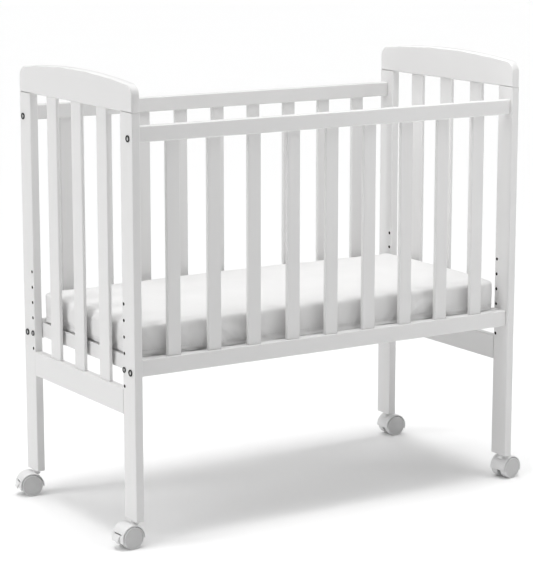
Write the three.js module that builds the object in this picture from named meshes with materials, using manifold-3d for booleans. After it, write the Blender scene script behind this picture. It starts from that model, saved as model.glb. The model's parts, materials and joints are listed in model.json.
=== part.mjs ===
// A baby crib on twin-wheel casters: two end panels with an arched top rail, two slatted side
// panels, a slatted mattress base hung on bolts in a column of height holes, and a mattress.
// Millimetres, +X along the crib, +Y from front to rear, +Z up, floor at Z = 0.

import * as THREE from "three";
import { mergeVertices } from "three/addons/utils/BufferGeometryUtils.js";
import Module from "manifold-3d";

const wasm = await Module();
wasm.setup();

// ---- Driving dimensions ---------------------------------------------------------------------

const LENGTH = 930; // over the outer faces of the two end panels
const WIDTH = 480; // over the outer edges of the posts
const BOARD = 18; // thickness of the end panels
const POST_WIDTH = 48;
const GAP = 0.3; // clearance kept wherever two pieces meet
const EASE = 2.5; // radius on the long edges of the wood
const EASE_STEPS = 2;

const FOOT_Z = 54; // foot of the posts, on top of the casters
const SEAM_Z = 856; // top of the posts, where the arched rail sits on them
const CROWN_Z = 922; // highest point of the arched rail
const CROWN_RADIUS = 2075;
const SHOULDER_RADIUS = 24;

const LOWER_END_RAIL = { bottom: 262.5, height: 51.5 };
const TOP_RAIL = { bottom: 798.5, height: 31 };
const BOTTOM_RAIL = { bottom: 342.3, height: 33.5 };
const RAIL_THICKNESS = 20;
const RAIL_INSET = 7; // from the outer edge of a post to the face of a side rail

const SIDE_SLAT = { count: 9, pitch: 92.2, width: 30, thickness: 10 };
const END_SLAT = { count: 3, pitch: 106.5, width: 42, thickness: 8 };
const TENON = 8; // how far a slat stands in each rail

const HEIGHT_HOLES = { count: 6, first: 320.4, pitch: 32.6, radius: 3.3, inset: 41 };
const BASE_HOLE_INDEX = 1; // the hole that the mattress base is bolted through
const HOLE_SIDES = 8;
const MORTISE_CORNER = 1.5; // small corners, so that a mortise clears its slat all round

const BASE = { length: 893, width: 418, bottom: 342.5, height: 33.5, bar: 20 };
const BASE_SLAT = { count: 9, width: 58, thickness: 9 };
const MATTRESS = { length: 884, width: 418, height: 63, corner: 26, ease: 7 };

const BOLT = {
  headRadius: 6.8,
  headHeight: 2.4,
  chamfer: 0.7,
  shankRadius: 3,
  length: 58,
  socketRadius: 2.9,
  socketDepth: 1.6,
  drop: 7.5, // below the middle of the rail
  inset: 15.8, // from the outer edge of the post
  sides: 12,
};
const BORE_SLACK = 0.35; // radial room around a shank

// Casters. Each is built with its stem on the local Z axis and its wheels trailing along local +X.
const TRAIL = 14.5;
const WHEEL = { radius: 22.5, innerFace: 5, outerFace: 21.5, sides: 20, boreRadius: 3.3, boreEnd: 17 };
const HOOD = { innerRadius: 23.8, thickness: 2.6, halfWidth: 20.5, from: -20, to: 186, steps: 12 };
const WEB_HALF = 4.4; // half thickness of the web between the wheels
const BOSS = { radius: 8, top: 50, sides: 12 };
const COLLAR = { radius: 6.4, top: FOOT_Z - 0.5 };
const STEM = { radius: 4, length: 34, sides: 8 };
const AXLE_RADIUS = 3;
const PEDAL = { halfWidth: 9, tongueHalf: 2.2, pivot: 19, pinRadius: 1.2, pinHalf: 3.6, sides: 8 };
const PEDAL_SLOT = { halfWidth: 2.6, from: 15, below: 16, above: 6.5 };
const PEDAL_NOTCH = { halfWidth: 9.6, shellFrom: 20, webFrom: 22.9, to: 40, below: 22, above: 9.5 };

// Which way each caster trails at rest, in degrees about +Z from +X.
const CASTERS = [
  { name: "front_left", side: -1, depth: -1, angle: 183.4, pedal: true },
  { name: "rear_left", side: -1, depth: 1, angle: 169, pedal: true },
  { name: "front_right", side: 1, depth: -1, angle: 8, pedal: false },
  { name: "rear_right", side: 1, depth: 1, angle: -2, pedal: false },
];

// Worked out from the driving dimensions
const END_X = LENGTH / 2 - BOARD / 2; // middle of an end panel's thickness
const INNER_X = LENGTH / 2 - BOARD; // inner face of an end panel
const POST_Y = WIDTH / 2 - POST_WIDTH / 2;
const RAIL_Y = WIDTH / 2 - RAIL_INSET - RAIL_THICKNESS / 2;
const BOLT_Y = WIDTH / 2 - BOLT.inset;
const HOLE_Y = WIDTH / 2 - HEIGHT_HOLES.inset;
const BASE_TOP = BASE.bottom + BASE.height;
const RAIL_LEVELS = { top: TOP_RAIL, bottom: BOTTOM_RAIL };
const SIDES = [
  { name: "left", x: -1 },
  { name: "right", x: 1 },
];
const DEPTHS = [
  { name: "front", y: -1 },
  { name: "rear", y: 1 },
];

// ---- Finishes ---------------------------------------------------------------------------------

const PAINT = { color: 0xe9e9e7, roughness: 0.42, metalness: 0 };
const CLOTH = { color: 0xe6e6e4, roughness: 0.95, metalness: 0 };
const BLACK_STEEL = { color: 0x1c1c1e, roughness: 0.4, metalness: 0.8 };
const HOOD_PLASTIC = { color: 0xe4e4e4, roughness: 0.45, metalness: 0 };
const WHEEL_PLASTIC = { color: 0xb9b9b9, roughness: 0.55, metalness: 0 };

function piece(name, geometry, finish) {
  const mesh = new THREE.Mesh(geometry, new THREE.MeshStandardMaterial(finish));
  mesh.name = name;
  return mesh;
}

// ---- Solids: joining and cutting --------------------------------------------------------------

function toSolid(geometry) {
  const bare = geometry.clone();
  bare.deleteAttribute("normal");
  bare.deleteAttribute("uv");
  const merged = mergeVertices(bare);
  const index = merged.index.array;
  const corners = [];
  for (let i = 0; i < index.length; i += 3) {
    const [a, b, c] = [index[i], index[i + 1], index[i + 2]];
    if (a !== b && b !== c && c !== a) corners.push(a, b, c);
  }
  const mesh = new wasm.Mesh({
    numProp: 3,
    vertProperties: new Float32Array(merged.attributes.position.array),
    triVerts: new Uint32Array(corners),
  });
  return new wasm.Manifold(mesh);
}

function toGeometry(solid) {
  const mesh = solid.getMesh();
  const geometry = new THREE.BufferGeometry();
  geometry.setAttribute("position", new THREE.BufferAttribute(new Float32Array(mesh.vertProperties), 3));
  geometry.setIndex(new THREE.BufferAttribute(new Uint32Array(mesh.triVerts), 1));
  geometry.computeVertexNormals();
  return geometry;
}

function join(...geometries) {
  return toGeometry(geometries.map(toSolid).reduce((whole, part) => whole.add(part)));
}

function cut(geometry, cutters) {
  return toGeometry(cutters.map(toSolid).reduce((left, tool) => left.subtract(tool), toSolid(geometry)));
}

// ---- Basic shapes -----------------------------------------------------------------------------

function degrees(angle) {
  return (angle * Math.PI) / 180;
}

function roundedRectangle(width, height, radius) {
  const [x, y] = [width / 2 - radius, height / 2 - radius];
  const shape = new THREE.Shape();
  shape.absarc(x, y, radius, 0, Math.PI / 2, false);
  shape.absarc(-x, y, radius, Math.PI / 2, Math.PI, false);
  shape.absarc(-x, -y, radius, Math.PI, Math.PI * 1.5, false);
  shape.absarc(x, -y, radius, Math.PI * 1.5, Math.PI * 2, false);
  return shape;
}

// A straight prism of a shape, centred on the origin along its length.
function prism(shape, length, steps = EASE_STEPS) {
  const geometry = new THREE.ExtrudeGeometry(shape, { depth: length, bevelEnabled: false, curveSegments: steps });
  return geometry.translate(0, 0, -length / 2);
}

const ALONG = {
  // the shape's x, the shape's y and the prism's length become these directions
  X: new THREE.Matrix4().makeBasis(
    new THREE.Vector3(0, 1, 0),
    new THREE.Vector3(0, 0, 1),
    new THREE.Vector3(1, 0, 0),
  ),
  Y: new THREE.Matrix4().makeBasis(
    new THREE.Vector3(1, 0, 0),
    new THREE.Vector3(0, 0, 1),
    new THREE.Vector3(0, -1, 0),
  ),
};

// A length of timber with eased long edges, centred on the origin.
function timberAlongX(length, thickness, height) {
  return prism(roundedRectangle(thickness, height, EASE), length).applyMatrix4(ALONG.X);
}

function timberAlongZ(width, thickness, length) {
  return prism(roundedRectangle(width, thickness, EASE), length);
}

// The room for a slat of the given section, with the clearance around it.
function mortise(width, thickness, depth) {
  return prism(roundedRectangle(width + 2 * GAP, thickness + 2 * GAP, MORTISE_CORNER), depth, 1);
}

function rodAlongX(radius, length, sides) {
  return new THREE.CylinderGeometry(radius, radius, length, sides).rotateZ(Math.PI / 2);
}

function rodAlongY(radius, length, sides) {
  return new THREE.CylinderGeometry(radius, radius, length, sides);
}

function rodAlongZ(radius, length, sides) {
  return new THREE.CylinderGeometry(radius, radius, length, sides).rotateX(Math.PI / 2);
}

// Positions of evenly spaced slats about the middle of a panel.
function spread(count, pitch) {
  return Array.from({ length: count }, (_, i) => (i - (count - 1) / 2) * pitch);
}

// ---- End panels -------------------------------------------------------------------------------

function railCentre(rail) {
  return rail.bottom + rail.height / 2;
}

function holeHeight(index) {
  return HEIGHT_HOLES.first + HEIGHT_HOLES.pitch * index;
}

// A post runs from its caster to the arched rail. depth is -1 at the front and 1 at the rear.
function postGeometry(depth) {
  const length = SEAM_Z - GAP - FOOT_Z;
  const middle = FOOT_Z + length / 2;
  const through = BOARD * 2;
  const cutters = [];
  for (let i = 0; i < HEIGHT_HOLES.count; i += 1) {
    const hole = rodAlongX(HEIGHT_HOLES.radius, through, HOLE_SIDES);
    cutters.push(hole.translate(0, depth * (HOLE_Y - POST_Y), holeHeight(i) - middle));
  }
  for (const rail of Object.values(RAIL_LEVELS)) {
    const hole = rodAlongX(BOLT.shankRadius + BORE_SLACK, through, HOLE_SIDES);
    cutters.push(hole.translate(0, depth * (BOLT_Y - POST_Y), railCentre(rail) - BOLT.drop - middle));
  }
  const socketDepth = STEM.length + 2;
  const socket = rodAlongZ(STEM.radius + BORE_SLACK, socketDepth * 2, STEM.sides);
  cutters.push(socket.translate(0, 0, -length / 2));
  return cut(timberAlongZ(BOARD, POST_WIDTH, length), cutters);
}

// The arched rail's face: upright ends, round shoulders and one long arc over the crown.
function archShape() {
  const bottom = SEAM_Z;
  const crownCentre = CROWN_Z - CROWN_RADIUS;
  const shoulderY = WIDTH / 2 - SHOULDER_RADIUS;
  const rise = Math.sqrt((CROWN_RADIUS - SHOULDER_RADIUS) ** 2 - shoulderY ** 2);
  const shoulderZ = crownCentre + rise;
  const lean = Math.atan2(rise, shoulderY);
  const shape = new THREE.Shape();
  shape.moveTo(-WIDTH / 2, bottom);
  shape.lineTo(WIDTH / 2, bottom);
  shape.absarc(shoulderY, shoulderZ, SHOULDER_RADIUS, 0, lean, false);
  shape.absarc(0, crownCentre, CROWN_RADIUS, lean, Math.PI - lean, false);
  shape.absarc(-shoulderY, shoulderZ, SHOULDER_RADIUS, Math.PI - lean, Math.PI, false);
  return shape;
}

function archGeometry() {
  const body = new THREE.ExtrudeGeometry(archShape(), {
    depth: BOARD - 2 * EASE,
    bevelThickness: EASE,
    bevelSize: EASE,
    bevelOffset: -EASE,
    bevelSegments: 1,
    curveSegments: 8,
  });
  body.translate(0, 0, EASE - BOARD / 2).applyMatrix4(ALONG.X);
  return cut(body, endSlatPockets(SEAM_Z));
}

// Mortises for the end slats, centred on the edge of a rail at the given height.
function endSlatPockets(edge) {
  const depth = (TENON + GAP) * 2;
  return spread(END_SLAT.count, END_SLAT.pitch).map((y) => {
    return mortise(END_SLAT.thickness, END_SLAT.width, depth).translate(0, y, edge);
  });
}

function lowerEndRailGeometry() {
  const length = WIDTH - 2 * POST_WIDTH - 2 * GAP;
  const shape = roundedRectangle(LOWER_END_RAIL.height, BOARD, EASE);
  const body = prism(shape, length).rotateY(-Math.PI / 2).rotateZ(Math.PI / 2);
  return body;
}

function endPanel(side) {
  const group = new THREE.Group();
  group.position.x = side.x * END_X;
  for (const depth of DEPTHS) {
    const post = piece(`${depth.name}_${side.name}_post`, postGeometry(depth.y), PAINT);
    post.position.set(0, depth.y * POST_Y, FOOT_Z + (SEAM_Z - GAP - FOOT_Z) / 2);
    group.add(post);
  }
  group.add(piece(`${side.name}_arch_rail`, archGeometry(), PAINT));

  const lowerTop = LOWER_END_RAIL.bottom + LOWER_END_RAIL.height;
  const lower = cut(
    lowerEndRailGeometry().translate(0, 0, railCentre(LOWER_END_RAIL)),
    endSlatPockets(lowerTop),
  );
  group.add(piece(`${side.name}_lower_rail`, lower, PAINT));

  const slatLength = SEAM_Z - lowerTop + 2 * TENON;
  spread(END_SLAT.count, END_SLAT.pitch).forEach((y, i) => {
    const slat = timberAlongZ(END_SLAT.thickness, END_SLAT.width, slatLength);
    const mesh = piece(`${side.name}_end_slat_${i + 1}`, slat, PAINT);
    mesh.position.set(0, y, (SEAM_Z + lowerTop) / 2);
    group.add(mesh);
  });
  return group;
}

// ---- Side panels ------------------------------------------------------------------------------

// edge is 1 when the slats stand in the rail's top edge, -1 when they hang from its bottom edge.
function sideRailGeometry(rail, edge, depth) {
  const length = 2 * (INNER_X - GAP);
  const body = timberAlongX(length, RAIL_THICKNESS, rail.height);
  const cutters = spread(SIDE_SLAT.count, SIDE_SLAT.pitch).map((x) => {
    const pocket = mortise(SIDE_SLAT.width, SIDE_SLAT.thickness, (TENON + GAP) * 2);
    return pocket.translate(x, 0, (edge * rail.height) / 2);
  });
  const boreDepth = BOLT.length - BOARD + 4;
  for (const end of [-1, 1]) {
    const bore = rodAlongX(BOLT.shankRadius + BORE_SLACK, boreDepth * 2, HOLE_SIDES);
    cutters.push(bore.translate((end * length) / 2, depth * (BOLT_Y - RAIL_Y), -BOLT.drop));
  }
  return cut(body, cutters);
}

function sidePanel(depth) {
  const group = new THREE.Group();
  group.position.y = depth.y * RAIL_Y;
  const edges = { top: -1, bottom: 1 };
  for (const [level, rail] of Object.entries(RAIL_LEVELS)) {
    const mesh = piece(`${depth.name}_${level}_rail`, sideRailGeometry(rail, edges[level], depth.y), PAINT);
    mesh.position.z = railCentre(rail);
    group.add(mesh);
  }
  const foot = BOTTOM_RAIL.bottom + BOTTOM_RAIL.height;
  const slatLength = TOP_RAIL.bottom - foot + 2 * TENON;
  spread(SIDE_SLAT.count, SIDE_SLAT.pitch).forEach((x, i) => {
    const slat = timberAlongZ(SIDE_SLAT.width, SIDE_SLAT.thickness, slatLength);
    const mesh = piece(`${depth.name}_slat_${i + 1}`, slat, PAINT);
    mesh.position.set(x, 0, (foot + TOP_RAIL.bottom) / 2);
    group.add(mesh);
  });
  return group;
}

// ---- Bolts that hold the side panels ----------------------------------------------------------

// The bolt's head is at local +Z 0 to headHeight and its shank runs down -Z.
function boltGeometry() {
  const { headRadius, headHeight, chamfer, shankRadius, length } = BOLT;
  const profile = [
    [0, -length],
    [shankRadius - chamfer, -length],
    [shankRadius, chamfer - length],
    [shankRadius, 0],
    [headRadius, 0],
    [headRadius, headHeight - chamfer],
    [headRadius - chamfer, headHeight],
    [0, headHeight],
  ].map(([r, z]) => new THREE.Vector2(r, z));
  const turned = new THREE.LatheGeometry(profile, BOLT.sides).rotateX(Math.PI / 2);
  const socket = rodAlongZ(BOLT.socketRadius, BOLT.socketDepth * 2, 6).translate(0, 0, headHeight);
  return cut(turned, [socket]);
}

function railBolts() {
  const group = new THREE.Group();
  for (const side of SIDES) {
    for (const depth of DEPTHS) {
      for (const [level, rail] of Object.entries(RAIL_LEVELS)) {
        const bolt = piece(`${depth.name}_${side.name}_${level}_bolt`, boltGeometry(), BLACK_STEEL);
        const z = railCentre(rail) - BOLT.drop;
        bolt.position.set(side.x * (LENGTH / 2 + GAP), depth.y * BOLT_Y, z);
        bolt.rotation.y = (side.x * Math.PI) / 2;
        group.add(bolt);
      }
    }
  }
  return group;
}

// ---- Mattress base and mattress ---------------------------------------------------------------

// Two long bars, two end bars and a deck of cross slats let flush into their top edges.
function baseGeometry() {
  const { length, width, height, bar } = BASE;
  const pieces = [];
  for (const y of [-1, 1]) {
    pieces.push(timberAlongX(length, bar, height).translate(0, (y * (width - bar)) / 2, 0));
  }
  const crossLength = width - bar;
  for (const x of [-1, 1]) {
    const end = new THREE.BoxGeometry(bar, crossLength, height - 2 * EASE);
    pieces.push(end.translate((x * (length - bar)) / 2, 0, 0));
  }
  const slatPitch = (length - 2 * bar) / BASE_SLAT.count;
  for (const x of spread(BASE_SLAT.count, slatPitch)) {
    const slat = new THREE.BoxGeometry(BASE_SLAT.width, crossLength, BASE_SLAT.thickness);
    pieces.push(slat.translate(x, 0, (height - BASE_SLAT.thickness) / 2));
  }
  const boreDepth = BOLT.length - BOARD + 4;
  const boreZ = holeHeight(BASE_HOLE_INDEX) - (BASE.bottom + height / 2);
  const bores = [];
  for (const x of [-1, 1]) {
    for (const y of [-1, 1]) {
      const bore = rodAlongX(BOLT.shankRadius + BORE_SLACK, boreDepth * 2, HOLE_SIDES);
      bores.push(bore.translate((x * length) / 2, y * HOLE_Y, boreZ));
    }
  }
  return cut(join(...pieces), bores);
}

function mattressGeometry() {
  const { length, width, height, corner, ease } = MATTRESS;
  const body = new THREE.ExtrudeGeometry(roundedRectangle(length, width, corner), {
    depth: height - 2 * ease,
    bevelThickness: ease,
    bevelSize: ease,
    bevelOffset: -ease,
    bevelSegments: 2,
    curveSegments: 3,
  });
  return body.translate(0, 0, ease);
}

function bed() {
  const group = new THREE.Group();
  const base = piece("mattress_base", baseGeometry(), PAINT);
  base.position.z = BASE.bottom + BASE.height / 2;
  const mattress = piece("mattress", mattressGeometry(), CLOTH);
  mattress.position.z = BASE_TOP + GAP;
  group.add(base, mattress);
  return group;
}

// ---- Casters ----------------------------------------------------------------------------------

// A block between two corners, for joining and cutting.
function block(x0, x1, halfWidth, z0, z1) {
  const geometry = new THREE.BoxGeometry(x1 - x0, 2 * halfWidth, z1 - z0);
  return geometry.translate((x0 + x1) / 2, 0, (z0 + z1) / 2);
}

// The hood's curved shell, as seen along the axle, with the axle at the origin.
function hoodShell() {
  const outerRadius = HOOD.innerRadius + HOOD.thickness;
  const [from, to] = [degrees(HOOD.from), degrees(HOOD.to)];
  const shape = new THREE.Shape();
  shape.absarc(0, 0, outerRadius, from, to, false);
  shape.absarc(0, 0, HOOD.innerRadius, to, from, true);
  return prism(shape, 2 * HOOD.halfWidth, HOOD.steps).applyMatrix4(ALONG.Y);
}

// The web fills the middle of the hood and carries the axle, with its edge cut off level below.
function webGeometry() {
  const shape = new THREE.Shape();
  const radius = HOOD.innerRadius + HOOD.thickness / 2;
  shape.absarc(0, 0, radius, degrees(HOOD.from), degrees(HOOD.to), false);
  shape.lineTo(-9, -10);
  shape.lineTo(9, -12);
  return prism(shape, 2 * WEB_HALF, HOOD.steps).applyMatrix4(ALONG.Y);
}

// Hood, web, boss, collar, stem and axle of one caster, with the stem on the Z axis.
function hoodGeometry(hasPedal) {
  const { radius } = WHEEL;
  const boss = rodAlongZ(BOSS.radius, BOSS.top - radius, BOSS.sides).translate(0, 0, (BOSS.top + radius) / 2);
  const wheelRoom = rodAlongY(HOOD.innerRadius + 0.2, 4 * HOOD.halfWidth, 24);
  const fittedBoss = cut(boss, [wheelRoom.translate(TRAIL, 0, radius)]);
  const collarHeight = COLLAR.top - BOSS.top;
  const collar = rodAlongZ(COLLAR.radius, collarHeight * 2, BOSS.sides).translate(0, 0, BOSS.top);
  const stemTop = FOOT_Z + STEM.length;
  const stemLength = stemTop - BOSS.top + 4;
  const stem = rodAlongZ(STEM.radius, stemLength, STEM.sides).translate(0, 0, stemTop - stemLength / 2);
  const axle = rodAlongY(AXLE_RADIUS, 2 * (WHEEL.boreEnd - 0.6), 10).translate(TRAIL, 0, radius);
  const shell = hasPedal ? cut(hoodShell(), [pedalNotch(PEDAL_NOTCH.shellFrom)]) : hoodShell();
  const web = hasPedal ? cut(webGeometry(), pedalSeat()) : webGeometry();
  shell.translate(TRAIL, 0, radius);
  web.translate(TRAIL, 0, radius);
  return join(shell, web, fittedBoss, collar, stem, axle);
}

// The opening in the trailing edge of a braked hood, from the given distance behind the axle.
function pedalNotch(from) {
  const { halfWidth, to, below, above } = PEDAL_NOTCH;
  return block(from, to, halfWidth, -below, above);
}

// What is cut from the web of a braked caster: the tongue's slot, room for the tread plate and
// the two holes for the pivot pin.
function pedalSeat() {
  const { halfWidth, from, below, above } = PEDAL_SLOT;
  const slot = block(from, PEDAL_NOTCH.to, halfWidth, -below, above);
  const pinHoles = rodAlongY(PEDAL.pinRadius + GAP, 2 * WEB_HALF + 2, PEDAL.sides);
  return [slot, pedalNotch(PEDAL_NOTCH.webFrom), pinHoles.translate(PEDAL.pivot, 0, 0)];
}

// The brake pedal, with its pivot at the origin: a tongue in the web's slot and a tread plate
// that droops outside the hood.
function pedalGeometry() {
  const plate = new THREE.Shape();
  plate.moveTo(5.2, 7.6);
  plate.quadraticCurveTo(10.4, 3.6, 12.4, -4.6);
  plate.lineTo(10.6, -6.4);
  plate.quadraticCurveTo(9.4, -3.4, 5.4, -1.6);
  const tongue = new THREE.Shape();
  tongue.moveTo(-2.6, -1.2);
  tongue.lineTo(-1.2, -2.6);
  tongue.lineTo(8, -2.2);
  tongue.lineTo(8, 2.6);
  tongue.lineTo(-1.2, 2.6);
  tongue.lineTo(-2.6, 1.2);
  return join(
    prism(plate, 2 * PEDAL.halfWidth, 5).applyMatrix4(ALONG.Y),
    prism(tongue, 2 * PEDAL.tongueHalf).applyMatrix4(ALONG.Y),
    rodAlongY(PEDAL.pinRadius, 2 * PEDAL.pinHalf, PEDAL.sides),
  );
}

// A wheel turned about the Y axis, with the axle's middle at the origin and its hub cap outwards.
function wheelGeometry() {
  const { radius, innerFace, outerFace, sides, boreRadius, boreEnd } = WHEEL;
  const corner = radius / Math.cos(Math.PI / sides); // so that the flats lie at the wheel's radius
  const profile = [
    [0, boreEnd],
    [boreRadius, boreEnd],
    [boreRadius, innerFace],
    [corner, innerFace],
    [corner, outerFace - 2],
    [corner - 1.8, outerFace],
    [corner - 4.2, outerFace],
    [corner - 5.2, outerFace - 1.2],
    [0, outerFace - 0.6],
  ].map(([r, y]) => new THREE.Vector2(r, y));
  return new THREE.LatheGeometry(profile, sides, Math.PI / sides);
}

function caster({ name, side, depth, angle, pedal }) {
  const group = new THREE.Group();
  group.position.set(side * END_X, depth * POST_Y, 0);
  group.rotation.z = degrees(angle);
  group.add(piece(`${name}_caster_hood`, hoodGeometry(pedal), HOOD_PLASTIC));

  // Local +Y points to the front of a left caster and to the rear of a right one.
  const ends = side < 0 ? ["front", "rear"] : ["rear", "front"];
  ends.forEach((end, i) => {
    const wheel = piece(`${name}_${end}_wheel`, toGeometry(toSolid(wheelGeometry())), WHEEL_PLASTIC);
    wheel.position.set(TRAIL, 0, WHEEL.radius);
    wheel.rotation.z = i * Math.PI;
    group.add(wheel);
  });
  if (pedal) {
    const lever = piece(`${name}_brake_pedal`, pedalGeometry(), HOOD_PLASTIC);
    lever.position.set(TRAIL + PEDAL.pivot, 0, WHEEL.radius);
    group.add(lever);
  }
  return group;
}

// ---- Assembly ---------------------------------------------------------------------------------

const crib = new THREE.Group();
crib.add(...SIDES.map(endPanel), ...DEPTHS.map(sidePanel), railBolts(), bed(), ...CASTERS.map(caster));

// The origin is the middle of the crib's footprint, on the floor.
const footprint = new THREE.Box3().setFromObject(crib, true);
const middle = footprint.getCenter(new THREE.Vector3());
crib.position.set(-middle.x, -middle.y, -footprint.min.z);

export default crib;
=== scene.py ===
"""A baby crib on casters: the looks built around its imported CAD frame. Metres, +Z up."""

import json
import math

import bmesh
import bpy
import numpy as np
from mathutils import Matrix, Vector, noise
from mathutils.bvhtree import BVHTree

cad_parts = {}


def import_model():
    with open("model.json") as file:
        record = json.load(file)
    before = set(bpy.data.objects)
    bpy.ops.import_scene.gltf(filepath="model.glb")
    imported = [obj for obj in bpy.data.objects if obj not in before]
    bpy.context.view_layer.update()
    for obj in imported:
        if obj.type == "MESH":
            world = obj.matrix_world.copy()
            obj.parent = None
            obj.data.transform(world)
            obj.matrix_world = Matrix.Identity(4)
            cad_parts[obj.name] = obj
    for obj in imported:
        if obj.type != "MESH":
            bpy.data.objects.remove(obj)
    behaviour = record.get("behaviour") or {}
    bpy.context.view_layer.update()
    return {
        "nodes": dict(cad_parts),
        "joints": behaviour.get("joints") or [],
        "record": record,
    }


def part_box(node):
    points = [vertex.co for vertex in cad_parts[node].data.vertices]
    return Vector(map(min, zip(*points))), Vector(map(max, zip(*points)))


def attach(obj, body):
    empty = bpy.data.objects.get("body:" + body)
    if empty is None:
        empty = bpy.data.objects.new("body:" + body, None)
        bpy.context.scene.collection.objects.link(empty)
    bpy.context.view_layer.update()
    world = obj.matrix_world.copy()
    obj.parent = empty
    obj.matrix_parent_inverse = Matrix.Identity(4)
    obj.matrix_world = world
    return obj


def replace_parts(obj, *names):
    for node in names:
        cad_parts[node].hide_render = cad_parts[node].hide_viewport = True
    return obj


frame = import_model()

MM = 0.001
NODES = frame["nodes"]
JOINTS = {joint["name"]: joint for joint in frame["joints"]}
SLOT_OF = {row["node"]: row["material_slot"] for row in frame["record"]["subparts"]}
ENDS = ("left", "right")
DEPTHS = ("front", "rear")
CORNERS = [f"{depth}_{end}" for end in ENDS for depth in DEPTHS]


# ---- Where things are ------------------------------------------------------------------------


def middle_of(*names):
    """The middle of the box round the named nodes."""
    lows, highs = zip(*[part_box(name) for name in names])
    low = Vector(min(p[i] for p in lows) for i in range(3))
    high = Vector(max(p[i] for p in highs) for i in range(3))
    return (low + high) / 2


POSTS_MIDDLE = middle_of(*[f"{corner}_post" for corner in CORNERS])
CENTRE = Vector((POSTS_MIDDLE.x, POSTS_MIDDLE.y, 0))


# ---- Node material helpers -------------------------------------------------------------------


class Shader:
    """A Principled material with short calls for adding and linking nodes."""

    def __init__(self, name, **values):
        self.material = bpy.data.materials.new(name)
        self.material.use_nodes = True
        self.tree = self.material.node_tree
        self.main = self.tree.nodes["Principled BSDF"]
        for socket, value in values.items():
            self.main.inputs[socket.replace("_", " ")].default_value = value

    def add(self, kind, inputs=None, **settings):
        node = self.tree.nodes.new(kind)
        for key, value in settings.items():
            setattr(node, key, value)
        for key, value in (inputs or {}).items():
            if isinstance(value, bpy.types.NodeSocket):
                self.tree.links.new(value, node.inputs[key])
            else:
                node.inputs[key].default_value = value
        return node

    def place(self, scale=(1, 1, 1), turn=(0, 0, 0)):
        """The row frame's coordinates, scaled, for a texture."""
        coordinates = self.add("ShaderNodeTexCoord").outputs["Object"]
        mapping = self.add("ShaderNodeMapping", {"Vector": coordinates, "Scale": scale, "Rotation": turn})
        return mapping.outputs["Vector"]

    def noise(self, place, scale, detail=3.0, roughness=0.5):
        inputs = {"Vector": place, "Scale": scale, "Detail": detail, "Roughness": roughness}
        return self.add("ShaderNodeTexNoise", inputs).outputs["Fac"]

    def ramp(self, value, low, high, start=0.3, end=0.7):
        """Value from start to end, turned smoothly into low to high."""
        inputs = {"Value": value, "From Min": start, "From Max": end, "To Min": low, "To Max": high}
        return self.add("ShaderNodeMapRange", inputs, interpolation_type="SMOOTHSTEP").outputs["Result"]

    def mix(self, factor, dark, light):
        node = self.add("ShaderNodeMix", data_type="RGBA")
        self.tree.links.new(factor, node.inputs["Factor"])
        node.inputs[6].default_value = (*dark, 1)
        node.inputs[7].default_value = (*light, 1)
        return node.outputs[2]

    def bump(self, height, strength, distance, below=None):
        inputs = {"Height": height, "Strength": strength, "Distance": distance}
        if below is not None:
            inputs["Normal"] = below
        return self.add("ShaderNodeBump", inputs).outputs["Normal"]

    def drive(self, socket, value):
        self.tree.links.new(value, self.main.inputs[socket])


def grey(level, warmth=0.0):
    """A grey as red, green and blue, a little warmer if asked."""
    return (level + warmth, level, level - warmth)


# ---- Materials -------------------------------------------------------------------------------

GRAIN_ALONG = {"x": (6, 160, 160), "y": (160, 6, 160), "z": (160, 160, 6)}


def white_paint(axis):
    """Satin paint on solid wood, with the grain just telegraphing through along one axis."""
    shader = Shader(f"white_paint_{axis}", Specular_IOR_Level=0.45)
    cloud = shader.noise(shader.place(), 5.0, 2.0)
    shader.drive("Base Color", shader.mix(cloud, grey(0.742, 0.003), grey(0.772, 0.003)))
    grain = shader.noise(shader.place(GRAIN_ALONG[axis]), 1.0, 5.0, 0.65)
    peel = shader.noise(shader.place(), 420.0, 2.0)
    shader.drive("Roughness", shader.ramp(grain, 0.36, 0.50))
    under = shader.bump(grain, 0.30, 0.25 * MM)
    shader.drive("Normal", shader.bump(peel, 0.12, 0.15 * MM, under))
    return shader.material


def mattress_cloth():
    """Off-white plain-weave cotton."""
    shader = Shader("mattress_cloth", Roughness=0.92, Specular_IOR_Level=0.2)
    shader.main.inputs["Sheen Weight"].default_value = 0.25
    shader.main.inputs["Sheen Roughness"].default_value = 0.5
    cloud = shader.noise(shader.place(), 14.0, 4.0)
    shader.drive("Base Color", shader.mix(cloud, grey(0.72, 0.003), grey(0.77, 0.003)))
    threads = []
    for turn in ((0, 0, 0), (0, 0, math.pi / 2), (0, math.pi / 2, 0)):
        inputs = {"Vector": shader.place(turn=turn), "Scale": 420.0, "Distortion": 0.6, "Detail": 1.0}
        threads.append(shader.add("ShaderNodeTexWave", inputs, wave_type="BANDS").outputs["Fac"])
    weave = threads[0]
    for thread in threads[1:]:
        add = shader.add("ShaderNodeMath", operation="ADD")
        shader.tree.links.new(weave, add.inputs[0])
        shader.tree.links.new(thread, add.inputs[1])
        weave = add.outputs[0]
    slub = shader.noise(shader.place((30, 260, 260)), 1.0, 3.0)
    under = shader.bump(slub, 0.25, 0.4 * MM)
    shader.drive("Normal", shader.bump(weave, 0.18, 0.2 * MM, under))
    return shader.material


def steel(name, dark, light, metallic):
    """Plated steel with fine scuffs."""
    shader = Shader(name, Metallic=metallic)
    wear = shader.noise(shader.place(), 900.0, 4.0, 0.6)
    shader.drive("Base Color", shader.mix(shader.ramp(wear, 0, 1, 0.45, 0.75), grey(dark), grey(light)))
    shader.drive("Roughness", shader.ramp(wear, 0.28, 0.5))
    shader.drive("Normal", shader.bump(wear, 0.15, 0.1 * MM))
    return shader.material


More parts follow.
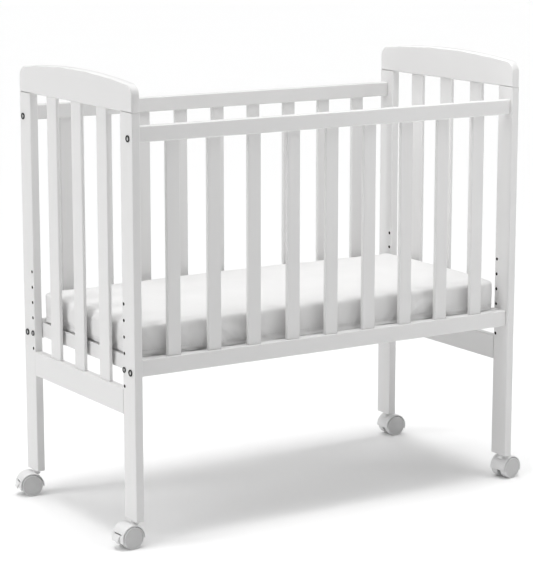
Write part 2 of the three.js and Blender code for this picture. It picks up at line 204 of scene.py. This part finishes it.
def bare_wood_and_painted_hole_shade():
    """The bare wall of a drilled hole, coloured near black: bare wood with the shade deep in the hole
    painted in.
    """
    shader = Shader("bare_wood_and_painted_hole_shade", Roughness=0.95, Specular_IOR_Level=0.1)
    speckle = shader.noise(shader.place(), 1500.0, 3.0)
    shader.drive("Base Color", shader.mix(speckle, (0.03, 0.026, 0.022), (0.08, 0.07, 0.06)))
    return shader.material


def moulded_plastic(name, level, roughness, skin_scale=700.0):
    """Nylon straight from the mould: a fine spark-eroded skin and faint cloudiness."""
    shader = Shader(name, Specular_IOR_Level=0.5)
    cloud = shader.noise(shader.place(), 60.0, 3.0)
    shader.drive("Base Color", shader.mix(cloud, grey(level * 0.96), grey(level)))
    skin = shader.noise(shader.place(), skin_scale, 2.0)
    shader.drive("Roughness", shader.ramp(skin, roughness - 0.06, roughness + 0.08))
    shader.drive("Normal", shader.bump(skin, 0.2, 0.08 * MM))
    return shader.material


PAINT = {axis: white_paint(axis) for axis in "xyz"}
CLOTH = mattress_cloth()
THREAD = moulded_plastic("mattress_thread", 0.66, 0.8)
STEEL = steel("bolt_steel", 0.55, 0.7, 1.0)
# near-black steel for the cup washers: painted shade, the dark ring of the bore round each bolt head
BORE_SHADE_BLACK_STEEL = steel("black_steel_bore_shade", 0.015, 0.05, 0.6)
# near black: bare hole walls with the shade deep in the holes painted in
BARE_WOOD_AND_HOLE_SHADE = bare_wood_and_painted_hole_shade()
HOOD_PLASTIC = moulded_plastic("caster_white", 0.80, 0.38)
HUB_PLASTIC = moulded_plastic("wheel_grey", 0.62, 0.5)
TREAD_PLASTIC = moulded_plastic("tread_grey", 0.74, 0.6, 450.0)


# ---- Mesh helpers ----------------------------------------------------------------------------


def new_object(name, mesh, material, body):
    """A piece of one material that rides on a body of the frame."""
    mesh.name = name
    piece = bpy.data.objects.new(name, mesh)
    bpy.context.scene.collection.objects.link(piece)
    mesh.materials.clear()
    mesh.materials.append(material)
    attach(piece, body)
    return piece


def bands(rings, sides, first=0):
    """The faces between rings of vertices that follow one another from the first vertex."""
    faces = []
    for ring in range(rings - 1):
        for k in range(sides):
            a = first + ring * sides + k
            b = first + ring * sides + (k + 1) % sides
            faces.append((a, b, b + sides, a + sides))
    return faces


def lathe(profile, sides=64):
    """A closed solid turned about local Y from (radius, y) points that start and end on the axis."""
    vertices = []
    for radius, y in profile:
        for k in range(sides):
            turn = 2 * math.pi * k / sides
            vertices.append((radius * math.sin(turn), y, radius * math.cos(turn)))
    return solid_from(vertices, bands(len(profile), sides))


def solid_from(vertices, faces):
    """A mesh with doubled points merged and faces without area dropped."""
    work = bmesh.new()
    made = [work.verts.new(v) for v in vertices]
    for face in faces:
        work.faces.new([made[i] for i in face])
    bmesh.ops.remove_doubles(work, verts=work.verts, dist=1e-7)
    bmesh.ops.dissolve_degenerate(work, edges=work.edges, dist=1e-7)
    bmesh.ops.recalc_face_normals(work, faces=work.faces)
    mesh = bpy.data.meshes.new("shape")
    work.to_mesh(mesh)
    work.free()
    return mesh


def prism(outline, low, high):
    """A closed outline of (x, z) points, drawn out along local Y from low to high."""
    count = len(outline)
    vertices = [(x, low, z) for x, z in outline] + [(x, high, z) for x, z in outline]
    faces = [tuple(range(count)), tuple(range(2 * count - 1, count - 1, -1))]
    for k in range(count):
        after = (k + 1) % count
        faces.append((k, after, after + count, k + count))
    return solid_from(vertices, faces)


def arc(radius, start, end, steps):
    """Points (x, z) on a circle about the origin, from start to end in degrees."""
    angles = [math.radians(start + (end - start) * k / steps) for k in range(steps + 1)]
    return [(radius * math.cos(a), radius * math.sin(a)) for a in angles]


def modified(mesh, *modifiers):
    """The mesh with modifiers applied, each given as (type, settings)."""
    carrier = bpy.data.objects.new("carrier", mesh)
    bpy.context.scene.collection.objects.link(carrier)
    for kind, settings in modifiers:
        modifier = carrier.modifiers.new(kind, kind)
        for key, value in settings.items():
            setattr(modifier, key, value)
    evaluated = carrier.evaluated_get(bpy.context.evaluated_depsgraph_get())
    result = bpy.data.meshes.new_from_object(evaluated)
    bpy.data.objects.remove(carrier)
    return result


def eased(mesh, width, segments=2, angle=35):
    """The mesh with its sharp edges rounded."""
    settings = {
        "width": width,
        "segments": segments,
        "limit_method": "ANGLE",
        "angle_limit": math.radians(angle),
    }
    return modified(mesh, ("BEVEL", settings))


def cut(mesh, *tools):
    """The mesh less each of the tools."""
    for tool_mesh in tools:
        tool = bpy.data.objects.new("tool", tool_mesh)
        bpy.context.scene.collection.objects.link(tool)
        settings = {"operation": "DIFFERENCE", "object": tool, "solver": "EXACT"}
        mesh = modified(mesh, ("BOOLEAN", settings))
        bpy.data.objects.remove(tool)
    return mesh


def joined(*meshes):
    """One mesh of several closed bodies."""
    work = bmesh.new()
    for mesh in meshes:
        work.from_mesh(mesh)
    result = bpy.data.meshes.new("shape")
    work.to_mesh(result)
    work.free()
    return result


def smoothed(piece):
    """The piece with all its faces shaded smooth."""
    for polygon in piece.data.polygons:
        polygon.use_smooth = True
    return piece


def shade(piece, angle=40):
    """Smooth shading, with edges sharper than the angle left crisp."""
    smoothed(piece)
    piece.data.set_sharp_from_angle(angle=math.radians(angle))
    modifier = piece.modifiers.new("even_normals", "WEIGHTED_NORMAL")
    modifier.keep_sharp = True
    return piece


def placed(mesh, matrix):
    """The mesh moved by a matrix."""
    mesh.transform(matrix)
    return mesh


# ---- Painted wood: the CAD nodes themselves -----------------------------------------------------


WELD_REACH = 0.01 * MM
EASED_EDGE = 0.5 * MM
HOLES = {"count": 6, "first": 320.4 * MM, "pitch": 32.6 * MM, "inset": 41 * MM, "radius": 3.4 * MM}
DRILL_REACH = 20 * MM


def grain_axis(node):
    """The axis that a piece of wood is longest along, as its grain is."""
    low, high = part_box(node)
    size = high - low
    return "xyz"[max(range(3), key=lambda i: size[i])]


def drill(z, y, x):
    """A round cutter along X through a post."""
    turn = Matrix.Translation((x, y, z)) @ Matrix.Rotation(math.pi / 2, 4, "Z")
    reach, radius = DRILL_REACH, HOLES["radius"]
    return placed(lathe([(0, -reach), (radius, -reach), (radius, reach), (0, reach)], 32), turn)


def post(node):
    """A post with round height holes, their walls bare wood painted near black for the shade in the holes.
    """
    low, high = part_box(node)
    centre = (low + high) / 2
    y = low.y + HOLES["inset"] if centre.y < CENTRE.y else high.y - HOLES["inset"]
    heights = [HOLES["first"] + HOLES["pitch"] * k for k in range(HOLES["count"])]
    blank = modified(NODES[node].data.copy(), ("WELD", {"merge_threshold": WELD_REACH}))
    mesh = cut(blank, joined(*[drill(z, y, centre.x) for z in heights]))
    piece = new_object(f"{node}_drilled", mesh, PAINT["z"], "crib_frame")
    # the hole walls take the near-black material: bare wood with the holes' shade painted in
    piece.data.materials.append(BARE_WOOD_AND_HOLE_SHADE)
    for polygon in piece.data.polygons:
        reach = min(math.hypot(polygon.center.y - y, polygon.center.z - z) for z in heights)
        wall = reach < HOLES["radius"] and abs(polygon.normal.x) < 0.2
        polygon.material_index = 1 if wall else 0
    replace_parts(piece, node)
    return piece


def painted(node):
    """A CAD node of solid wood in its coat of paint."""
    piece = NODES[node]
    piece.data.materials.clear()
    piece.data.materials.append(PAINT[grain_axis(node)])
    weld = piece.modifiers.new("weld", "WELD")
    weld.merge_threshold = WELD_REACH
    return piece


def finish_wood(node):
    """A wooden piece in its paint, with its edges eased."""
    piece = smoothed(post(node) if node.endswith("_post") else painted(node))
    bevel = piece.modifiers.new("ease", "BEVEL")
    bevel.width = EASED_EDGE
    bevel.segments = 2
    bevel.limit_method = "ANGLE"
    bevel.angle_limit = math.radians(50)
    normals = piece.modifiers.new("even_normals", "WEIGHTED_NORMAL")
    normals.keep_sharp = False


# ---- Mattress --------------------------------------------------------------------------------

PUFF = {"inset": 1.5 * MM, "voxel": 5 * MM, "frames": 20, "pressure": 4, "cap": 3 * MM}
FOLD = {"pitch": 38 * MM, "height": 150 * MM, "depth": 2.4 * MM}
RIPPLE = {"pitch": 9 * MM, "height": 60 * MM, "depth": 0.35 * MM}
EDGE_REACH = 6 * MM
HOLLOW = {"pitch": 150 * MM, "depth": 1.6 * MM}
STITCH = {"rise": 11 * MM, "pitch": 6 * MM, "length": 4 * MM, "radius": 0.55 * MM}
STITCH_SIDES = 6
STITCH_SEARCH = 20 * MM
MATTRESS_CORNER = 26 * MM
TOP_EDGE = 5


def vertex_vectors(mesh, kind="co"):
    """The mesh's vertex coordinates or normals, one row each."""
    values = np.empty(len(mesh.vertices) * 3)
    mesh.vertices.foreach_get(kind, values)
    return values.reshape(-1, 3)


def puffed(mesh):
    """The closed mesh swollen by a short cloth simulation with its underside held."""
    carrier = bpy.data.objects.new("mattress_carrier", mesh)
    bpy.context.scene.collection.objects.link(carrier)
    rest = vertex_vectors(mesh)
    held = carrier.vertex_groups.new(name="held")
    underside = np.nonzero(rest[:, 2] < rest[:, 2].min() + 2 * MM)[0]
    held.add([int(i) for i in underside], 1.0, "REPLACE")
    cloth = carrier.modifiers.new("cloth", "CLOTH")
    cloth.settings.quality = 5
    cloth.settings.mass = 0.3
    cloth.settings.shrink_min = -0.03
    cloth.settings.use_pressure = True
    cloth.settings.uniform_pressure_force = PUFF["pressure"]
    cloth.settings.vertex_group_mass = "held"
    cloth.settings.effector_weights.gravity = 0
    cloth.point_cache.frame_end = PUFF["frames"]
    for number in range(1, PUFF["frames"] + 1):
        bpy.context.scene.frame_set(number)
    evaluated = carrier.evaluated_get(bpy.context.evaluated_depsgraph_get())
    result = bpy.data.meshes.new_from_object(evaluated)
    bpy.data.objects.remove(carrier)
    bpy.context.scene.frame_set(1)
    step = vertex_vectors(result) - rest
    length = np.maximum(np.linalg.norm(step, axis=1, keepdims=True), 1e-9)
    result.vertices.foreach_set("co", (rest + step * np.minimum(1, PUFF["cap"] / length)).ravel())
    return result


def upright_noise(point, size, lift):
    """Noise drawn out along Z, raised by a share of its depth and cut off at nothing."""
    across = Vector((point[0] / size["pitch"], point[1] / size["pitch"], point[2] / size["height"]))
    return max(0, noise.fractal(across, 1.0, 2.0, 2) + lift) * size["depth"]


def creased(mesh):
    """Soft upright folds pressed into the sides, and faint hollows in the top."""
    points = vertex_vectors(mesh)
    normals = vertex_vectors(mesh, "normal")
    inward = np.empty(len(points))
    for i, point in enumerate(points):
        fold = upright_noise(point, FOLD, 0.3) + upright_noise(point, RIPPLE, 0.2)
        hollow = noise.noise(Vector(point) / HOLLOW["pitch"]) * HOLLOW["depth"]
        up = normals[i, 2]
        inward[i] = (1 - abs(up)) * fold + max(0, up) * max(0, hollow)
    mesh.vertices.foreach_set("co", (points - normals * inward[:, None]).ravel())
    mesh.update()
    return mesh


def squared_below(mesh, low, high):
    """The mesh with its lower edge pressed out to the sides, as its weight does on the slats."""
    points = vertex_vectors(mesh)
    centre = np.array((low + high) / 2)[:2]
    core = np.array(high - low)[:2] / 2 - MATTRESS_CORNER
    offset = points[:, :2] - centre
    beyond = np.sign(offset) * np.maximum(np.abs(offset) - core, 0)
    length = np.maximum(np.linalg.norm(beyond, axis=1, keepdims=True), 1e-9)
    rise = points[:, 2] - low.z
    near = (length[:, 0] > MATTRESS_CORNER - EDGE_REACH) & (rise < EDGE_REACH)
    share = np.where(near, 1 - np.clip(rise / EDGE_REACH, 0, 1) ** 2, 0)[:, None]
    points[:, :2] += beyond / length * (MATTRESS_CORNER - length) * share
    points[:, 2] = np.where(near & (rise < EDGE_REACH / 2), low.z, points[:, 2])
    mesh.vertices.foreach_set("co", points.ravel())
    mesh.update()
    return mesh


def outline(low, high, corner, height, steps=12):
    """Points round a rounded rectangle at a height, anticlockwise."""
    centres = (
        (high.x - corner, high.y - corner, 0),
        (low.x + corner, high.y - corner, 90),
        (low.x + corner, low.y + corner, 180),
        (high.x - corner, low.y + corner, 270),
    )
    return [
        Vector((x, y, height)) + corner * Vector((math.cos(a), math.sin(a), 0))
        for x, y, start in centres
        for a in (math.radians(start + 90 * k / steps) for k in range(steps + 1))
    ]


def evenly_along(path, pitch):
    """Points, the ways out and the ways along, at about even spacing round a closed path."""
    points = []
    for here, after in zip(path, path[1:] + path[:1]):
        along = after - here
        out = Vector((along.y, -along.x, 0)).normalized()
        count = max(1, round(along.length / pitch))
        points += [(here + along * (k + 0.5) / count, out, along.normalized()) for k in range(count)]
    return points


def slab(low, high):
    """A rounded slab with a tight lower edge and a softer upper one, its profile in millimetres."""
    height = high.z - low.z
    profile = [(2.0, 0), (0.6, 0.6), (0, 2.0)]
    for k in range(6):
        angle = math.radians(18 * k)
        top = height / MM - TOP_EDGE
        profile.append((TOP_EDGE - TOP_EDGE * math.cos(angle), top + TOP_EDGE * math.sin(angle)))
    rings = []
    for inset, rise in profile:
        step = Vector((inset * MM, inset * MM, 0))
        rings.append(outline(low + step, high - step, MATTRESS_CORNER - inset * MM, low.z + rise * MM))
    count = len(rings[0])
    faces = [tuple(range(count)), tuple(range(len(rings) * count - 1, (len(rings) - 1) * count - 1, -1))]
    faces += bands(len(rings), count)
    return solid_from([point for ring in rings for point in ring], faces)


def stitches(surface, low, high):
    """A row of stitches round the sides, just over the lower edge, lying on the surface."""
    tree = BVHTree.FromPolygons(
        [v.co for v in surface.vertices], [tuple(p.vertices) for p in surface.polygons]
    )
    vertices, faces = [], []
    half, radius = STITCH["length"] / 2, STITCH["radius"]
    rings = ((-half, 0.2), (-half * 0.7, 0.9), (half * 0.7, 0.9), (half, 0.2))
    path = outline(low, high, MATTRESS_CORNER, low.z + STITCH["rise"])
    for point, out, along in evenly_along(path, STITCH["pitch"]):
        hit, normal = tree.ray_cast(point + out * STITCH_SEARCH, -out)[:2]
        if hit is None:
            continue
        across = normal.cross(along)
        first = len(vertices)
        for reach, width in rings:
            for k in range(STITCH_SIDES):
                angle = 2 * math.pi / STITCH_SIDES * k
                spread = normal * math.sin(angle) + across * math.cos(angle)
                vertices.append(hit + along * reach + spread * radius * width)
        faces += bands(len(rings), STITCH_SIDES, first)
        last = len(vertices)
        faces.append(tuple(range(first + STITCH_SIDES - 1, first - 1, -1)))
        faces.append(tuple(range(last - STITCH_SIDES, last)))
    return solid_from(vertices, faces)


def mattress():
    """The padded cover, its seam just over the lower edge, in place of the plain CAD block."""
    low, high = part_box("mattress")
    step = Vector((1, 1, 0)) * PUFF["inset"]
    mesh = slab(low + step, high - step - Vector((0, 0, PUFF["inset"])))
    mesh = modified(mesh, ("REMESH", {"mode": "VOXEL", "voxel_size": PUFF["voxel"]}))
    mesh = puffed(mesh)
    mesh = squared_below(modified(mesh, ("SUBSURF", {"levels": 1})), low + step, high - step)
    piece = smoothed(new_object("mattress_cover", creased(mesh), CLOTH, "mattress"))
    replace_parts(piece, "mattress")
    seam = stitches(piece.data, low, high)
    shade(new_object("mattress_stitches", seam, THREAD, "mattress"), 60)


# ---- Bolts -----------------------------------------------------------------------------------

BOLT = {"head": 6.8 * MM, "height": 2.4 * MM, "shank": 3 * MM, "length": 58 * MM}
BASE_BOLT = {"head": 5.8 * MM, "height": 2.2 * MM, "shank": 3 * MM, "length": 50 * MM}
BASE_BOLT_ABOVE = 10.5 * MM
BASE_BOLT_INSET = 10 * MM
SOCKET = {"radius": 1.9 * MM, "depth": 1.4 * MM}
BUTTON_SHARE = 0.56
CUP_MOUTH_SHARE = 0.6
BUTTON_RIM = 0.7 * MM


def bolt_mesh(size):
    """A button-headed bolt along local Y with a hex socket, its head outwards from Y = 0."""
    length, height, shank = size["length"], size["height"], size["shank"]
    head = size["head"] * BUTTON_SHARE
    dome = []
    for k in range(8):
        angle = math.radians(9 * k)
        dome.append((head * math.cos(angle), BUTTON_RIM + (height - BUTTON_RIM) * math.sin(angle)))
    profile = [
        (0, -length),
        (shank - 0.5 * MM, -length),
        (shank, -length + 0.5 * MM),
        (shank, 0),
        (head, 0),
        *dome,
        (head * 0.36, height),
        (0, height),
    ]
    socket = prism(arc(SOCKET["radius"], 0, 300, 5), height - SOCKET["depth"], height + MM)
    return cut(lathe(profile), socket)


def cup_mesh(size):
    """The dished washer that a bolt's head sits in, near black to paint the shade of the bore round the
    head.
    """
    outer, inner, height = size["head"], size["head"] * CUP_MOUTH_SHARE, size["height"]
    profile = [
        (0, 0),
        (outer - 0.3 * MM, 0),
        *rounded_corner(outer - 0.8 * MM, height - MM, 0.8 * MM, 0, 4),
        (inner, height - 0.5 * MM),
        (inner - 0.3 * MM, 0.6 * MM),
        (0, 0.6 * MM),
    ]
    return lathe(profile)


def bolt(name, size, point, end, body):
    """A bolt in its cup washer on an end panel's outer face at a point; the cup's near-black steel is
    painted shade round the head.
    """
    turn = Matrix.Rotation(math.pi / 2 if end == "left" else -math.pi / 2, 4, "Z")
    place = Matrix.Translation(point) @ turn
    head = new_object(name, placed(bolt_mesh(size), place), STEEL, body)
    cup = new_object(f"{name}_cup", placed(cup_mesh(size), place), BORE_SHADE_BLACK_STEEL, body)
    shade(cup, 50)
    return shade(head, 50)


def rail_bolts():
    """The bolts that hold the side rails, two to a post."""
    for corner in CORNERS:
        end = corner.split("_")[1]
        for level in ("top", "bottom"):
            node = f"{corner}_{level}_bolt"
            centre = middle_of(node)
            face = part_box(f"{corner}_post")[0 if end == "left" else 1].x
            piece = bolt(f"{node}_turned", BOLT, Vector((face, centre.y, centre.z)), end, "crib_frame")
            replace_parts(piece, node)


def base_bolts():
    """The four bolts that hang the mattress base in its row of height holes."""
    low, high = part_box("mattress_base")
    z = low.z + BASE_BOLT_ABOVE
    for corner in CORNERS:
        depth, end = corner.split("_")
        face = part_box(f"{corner}_post")[0 if end == "left" else 1].x
        y = low.y + BASE_BOLT_INSET if depth == "front" else high.y - BASE_BOLT_INSET
        bolt(f"{corner}_base_bolt", BASE_BOLT, Vector((face, y, z)), end, "mattress_base")


# ---- Casters ---------------------------------------------------------------------------------

WHEEL_RADIUS = 22.5 * MM
WHEEL_INNER = 5 * MM
WHEEL_OUTER = 21.5 * MM
AXLE_RADIUS = 3 * MM
AXLE_HALF = 14.5 * MM
HOOD = {"inner": 23.8 * MM, "outer": 26.4 * MM, "half": 20.5 * MM, "from": -20, "to": 186}
WEB_HALF = 4.4 * MM


class CasterFrame:
    """Where a caster is: its stem, its axle and the directions along its trail and axle."""

    def __init__(self, corner):
        self.corner = corner
        self.body = f"{corner}_caster"
        swivel = JOINTS[f"{corner}_swivel"]
        wheel = JOINTS[f"{corner}_front_wheel_spin"]
        self.stem = Vector((swivel["pos_m"][0], swivel["pos_m"][1], 0))
        self.axle = Vector(wheel["pos_m"])
        self.across = Vector(wheel["axis"]).normalized()
        self.along = self.axle - self.stem
        self.along.z = 0
        self.trail = self.along.length
        self.along.normalize()
        self.braked = f"{corner}_brake" in JOINTS

    def matrix(self, origin, flip=False):
        """Local X along the trail, local Y along the axle and local Z up, at an origin."""
        sign = -1 if flip else 1
        columns = (self.along * sign, self.across * sign, Vector((0, 0, 1)))
        turn = Matrix.Identity(4)
        for i, column in enumerate(columns):
            for j in range(3):
                turn[j][i] = column[j]
        return Matrix.Translation(origin) @ turn


def rounded_corner(x, y, radius, start, steps=5):
    """Points of a quarter circle about (x, y), from start degrees."""
    angles = [math.radians(start + 90 * k / steps) for k in range(steps + 1)]
    return [(x + radius * math.cos(a), y + radius * math.sin(a)) for a in angles]


def tread_mesh():
    """The wheel's tyre: a ring with round shoulders, closed through the wheel's inner side."""
    shoulder = 1.6 * MM
    profile = [
        (0, WHEEL_INNER + 10 * MM),
        (AXLE_RADIUS + 0.4 * MM, WHEEL_INNER + 10 * MM),
        (AXLE_RADIUS + 0.4 * MM, WHEEL_INNER),
        (7 * MM, WHEEL_INNER),
        (7.6 * MM, WHEEL_INNER + 1.5 * MM),
        (18 * MM, WHEEL_INNER + 1.5 * MM),
        (18.6 * MM, WHEEL_INNER),
        *rounded_corner(WHEEL_RADIUS - MM, WHEEL_INNER + MM, MM, -90, 3),
        *rounded_corner(WHEEL_RADIUS - shoulder, WHEEL_OUTER - shoulder, shoulder, 0),
        (20.4 * MM, WHEEL_OUTER),
        (20.1 * MM, WHEEL_OUTER - 0.4 * MM),
        (20.1 * MM, WHEEL_OUTER - 3 * MM),
        (0, WHEEL_OUTER - 3 * MM),
    ]
    return lathe(profile)


def hub_mesh():
    """The hub cap: a shallow dished disc with a raised centre, let into the tyre."""
    face = WHEEL_OUTER - 0.7 * MM
    profile = [
        (0, WHEEL_OUTER - 2.9 * MM),
        (19.8 * MM, WHEEL_OUTER - 2.9 * MM),
        (19.8 * MM, face - 0.3 * MM),
        (19.5 * MM, face),
        (17.6 * MM, face),
        (17.2 * MM, face - 0.4 * MM),
        (6.4 * MM, face - 0.3 * MM),
        (5.9 * MM, face),
        (5.2 * MM, face + 0.2 * MM),
        (0, face + 0.4 * MM),
    ]
    return lathe(profile)


def wheels(place):
    """Both wheels of a caster, each a tyre with a hub cap."""
    for depth in DEPTHS:
        node = f"{place.corner}_{depth}_wheel"
        offset = middle_of(node) - place.axle
        flip = offset.dot(place.across) < 0
        matrix = place.matrix(place.axle, flip)
        tread = new_object(f"{node}_tyre", placed(tread_mesh(), matrix), TREAD_PLASTIC, node)
        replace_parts(shade(tread), node)
        hub = new_object(f"{node}_hub_cap", placed(hub_mesh(), matrix), HUB_PLASTIC, node)
        shade(hub, 60)


def hood_mesh(place):
    """The hood over both wheels, with the web, boss, collar, stem and axle, on the axle's middle."""
    start, end = HOOD["from"], HOOD["to"]
    ring = arc(HOOD["outer"], start, end, 60) + arc(HOOD["inner"], end, start, 60)
    shell = prism(ring, -HOOD["half"], HOOD["half"])
    web_outline = arc((HOOD["inner"] + HOOD["outer"]) / 2, start, end, 60)
    web_outline += [(-9 * MM, -10 * MM), (9 * MM, -12 * MM)]
    web = prism(web_outline, -WEB_HALF, WEB_HALF)
    if place.braked:
        shell = cut(shell, block(20, 40, 9.6, -22, 9.5))
        web = cut(web, block(15, 40, 2.6, -16, 6.5), block(22.9, 40, 9.6, -22, 9.5))
    boss_profile = [(0, 21.5), (8, 21.5), (8, 26.9), (7.4, 27.5), (6.4, 27.5), (6.4, 31), (0, 31)]
    boss = upright(boss_profile, place.trail)
    stem = upright([(0, 27), (4, 27), (4, 64), (3, 65.5), (0, 65.5)], place.trail)
    axle = lathe([(0, -AXLE_HALF), (AXLE_RADIUS, -AXLE_HALF), (AXLE_RADIUS, AXLE_HALF), (0, AXLE_HALF)], 32)
    return joined(eased(shell, 0.7 * MM, 3), eased(web, 0.4 * MM), boss, stem, axle)


def block(x0, x1, half, z0, z1):
    """A block in a caster's frame, in millimetres, with the axle at the origin."""
    corners = [(x0 * MM, z0 * MM), (x1 * MM, z0 * MM), (x1 * MM, z1 * MM), (x0 * MM, z1 * MM)]
    return prism(corners, -half * MM, half * MM)


def upright(profile, trail):
    """A solid turned about the caster's stem, from (radius, height over the axle) in millimetres."""
    mesh = lathe([(r * MM, z * MM) for r, z in profile], 40)
    mesh.transform(Matrix.Translation((-trail, 0, 0)) @ Matrix.Rotation(math.pi / 2, 4, "X"))
    return mesh


def bezier(a, b, c, steps=10):
    """A quadratic curve from a to c."""
    points = []
    for k in range(steps + 1):
        t = k / steps
        points.append(tuple((1 - t) ** 2 * p + 2 * t * (1 - t) * q + t * t * r for p, q, r in zip(a, b, c)))
    return points


def pedal_mesh():
    """The brake pedal with its pivot at the origin: a drooping tread plate with three grip ribs."""
    top = bezier((5.2, 7.6), (10.4, 3.6), (12.4, -4.6))
    under = bezier((10.6, -6.4), (9.4, -3.4), (5.4, -1.6))
    plate = prism([(x * MM, z * MM) for x, z in top + under], -9 * MM, 9 * MM)
    tongue_outline = [(-2.6, -1.2), (-1.2, -2.6), (8, -2.2), (8, 2.6), (-1.2, 2.6), (-2.6, 1.2)]
    tongue = prism([(x * MM, z * MM) for x, z in tongue_outline], -2.2 * MM, 2.2 * MM)
    pin = lathe([(0, -3.6 * MM), (1.2 * MM, -3.6 * MM), (1.2 * MM, 3.6 * MM), (0, 3.6 * MM)], 24)
    ribs = []
    for x, z in (top[4], top[6], top[8]):
        rib = lathe([(0, -7 * MM), (0.7 * MM, -7 * MM), (0.7 * MM, 7 * MM), (0, 7 * MM)], 16)
        ribs.append(placed(rib, Matrix.Translation((x * MM - 0.35 * MM, 0, z * MM - 0.1 * MM))))
    return joined(eased(plate, 0.6 * MM, 3), tongue, pin, *ribs)


def caster(corner):
    """A caster's wheels, its hood and, if it has a brake, its pedal, in place of their CAD nodes."""
    place = CasterFrame(corner)
    wheels(place)
    mesh = placed(hood_mesh(place), place.matrix(place.axle))
    hood = new_object(f"{corner}_hood", mesh, HOOD_PLASTIC, place.body)
    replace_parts(shade(hood, 35), f"{corner}_caster_hood")
    if place.braked:
        pivot = Vector(JOINTS[f"{corner}_brake"]["pos_m"])
        mesh = placed(pedal_mesh(), place.matrix(pivot))
        pedal = new_object(f"{corner}_pedal", mesh, HOOD_PLASTIC, f"{corner}_brake_pedal")
        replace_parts(shade(pedal, 35), f"{corner}_brake_pedal")


# ---- Studio ----------------------------------------------------------------------------------

CAMERA_OFFSET = Vector((-2.42, -3.81, 1.314))
CAMERA_YAW = math.radians(32.28)
CAMERA_PITCH = math.radians(11.17)
CAMERA_LENS = 133.1


def camera():
    """The camera, placed from the middle of the posts at floor level."""
    data = bpy.data.cameras.new("camera")
    data.lens = CAMERA_LENS
    data.sensor_width = 36
    data.clip_end = 200
    shot = bpy.data.objects.new("camera", data)
    shot.location = CENTRE + CAMERA_OFFSET
    shot.rotation_euler = (math.pi / 2 - CAMERA_PITCH, 0, -CAMERA_YAW)
    bpy.context.scene.collection.objects.link(shot)
    bpy.context.scene.camera = shot


FLOOR_REACH = 60


def floor():
    """A plain white floor, lit by the lamps and the dome alone."""
    shader = Shader("studio_floor", Specular_IOR_Level=0.0, Roughness=1.0)
    cloud = shader.noise(shader.place(), 0.8, 2.0)
    shader.drive("Base Color", shader.mix(cloud, grey(0.94), grey(0.95)))
    reach = FLOOR_REACH
    vertices = [(-reach, -reach, 0), (reach, -reach, 0), (reach, reach, 0), (-reach, reach, 0)]
    mesh = bpy.data.meshes.new("floor")
    mesh.from_pydata(vertices, [], [(0, 1, 2, 3)])
    mesh.materials.append(shader.material)
    plane = bpy.data.objects.new("floor", mesh)
    bpy.context.scene.collection.objects.link(plane)


DOME_STRENGTH = 0.82
DOME_START = 0.5  # the height on a unit sphere 30 degrees above the horizon


def world():
    """A soft overhead dome; straight into the camera, the backdrop is plain white."""
    backdrop = bpy.data.worlds.new("studio")
    bpy.context.scene.world = backdrop
    backdrop.use_nodes = True
    tree = backdrop.node_tree
    dome = tree.nodes["Background"]
    split = tree.nodes.new("ShaderNodeSeparateXYZ")
    ramp = tree.nodes.new("ShaderNodeMapRange")
    ramp.inputs["From Min"].default_value = DOME_START
    ramp.inputs["To Max"].default_value = DOME_STRENGTH
    white = tree.nodes.new("ShaderNodeBackground")
    choose = tree.nodes.new("ShaderNodeMixShader")
    links = (
        (tree.nodes.new("ShaderNodeTexCoord").outputs["Generated"], split.inputs[0]),
        (split.outputs["Z"], ramp.inputs["Value"]),
        (ramp.outputs["Result"], dome.inputs["Strength"]),
        (tree.nodes.new("ShaderNodeLightPath").outputs["Is Camera Ray"], choose.inputs[0]),
        (dome.outputs[0], choose.inputs[1]),
        (white.outputs[0], choose.inputs[2]),
        (choose.outputs[0], tree.nodes["World Output"].inputs["Surface"]),
    )
    for source, target in links:
        tree.links.new(source, target)
    dome.inputs["Color"].default_value = (1, 1, 1, 1)
    white.inputs["Color"].default_value = (1, 1, 1, 1)


def lamp(name, kind, energy, place, target, **settings):
    """A light of a kind at a place, aimed at a target."""
    data = bpy.data.lights.new(name, kind)
    data.energy = energy
    for key, value in settings.items():
        setattr(data, key, value)
    light = bpy.data.objects.new(name, data)
    light.location = place
    light.rotation_euler = (Vector(target) - Vector(place)).to_track_quat("-Z", "Y").to_euler()
    bpy.context.scene.collection.objects.link(light)


MIDDLE = (0, 0, 0.5)


def lights():
    """Broad soft skies, two low lights that draw the casters' shadows inwards, and soft panels."""
    wide = math.radians(45)
    narrow = math.radians(14)
    lamp("left_sky", "SUN", 0.72, (-5, 0, 4.5), MIDDLE, angle=wide)
    lamp("rear_sky", "SUN", 0.66, (0, 5, 5.5), MIDDLE, angle=wide)
    lamp("right_sky", "SUN", 0.15, (5, 0, 5.5), MIDDLE, angle=wide)
    lamp("left_low", "SUN", 0.42, (-5, 1.2, 1.9), MIDDLE, angle=narrow)
    lamp("right_low", "SUN", 0.4, (5, 1.0, 1.9), MIDDLE, angle=narrow)
    lamp("top_key", "SUN", 1.0, (-0.2, -0.15, 5), MIDDLE, angle=math.radians(16))
    lamp("top_panel", "AREA", 5.5, (0.1, -0.36, 1.85), MIDDLE, size=0.6)
    lamp("right_panel", "AREA", 3.5, (1.2, -1.6, 1.6), MIDDLE, size=1.0)
    lamp("right_fill", "AREA", 1.3, (0.9, -1.1, 0.6), MIDDLE, size=0.6)
    lamp("left_panel", "AREA", 1.7, (-1.6, 0.2, 1.2), MIDDLE, size=1.0)


# ---- Building it all ---------------------------------------------------------------------------

bpy.context.scene.view_settings.view_transform = "Standard"
for node_name in NODES:
    if SLOT_OF[node_name] == "white_paint":
        finish_wood(node_name)
rail_bolts()
base_bolts()
for corner_name in CORNERS:
    caster(corner_name)
mattress()
camera()
floor()
world()
lights()
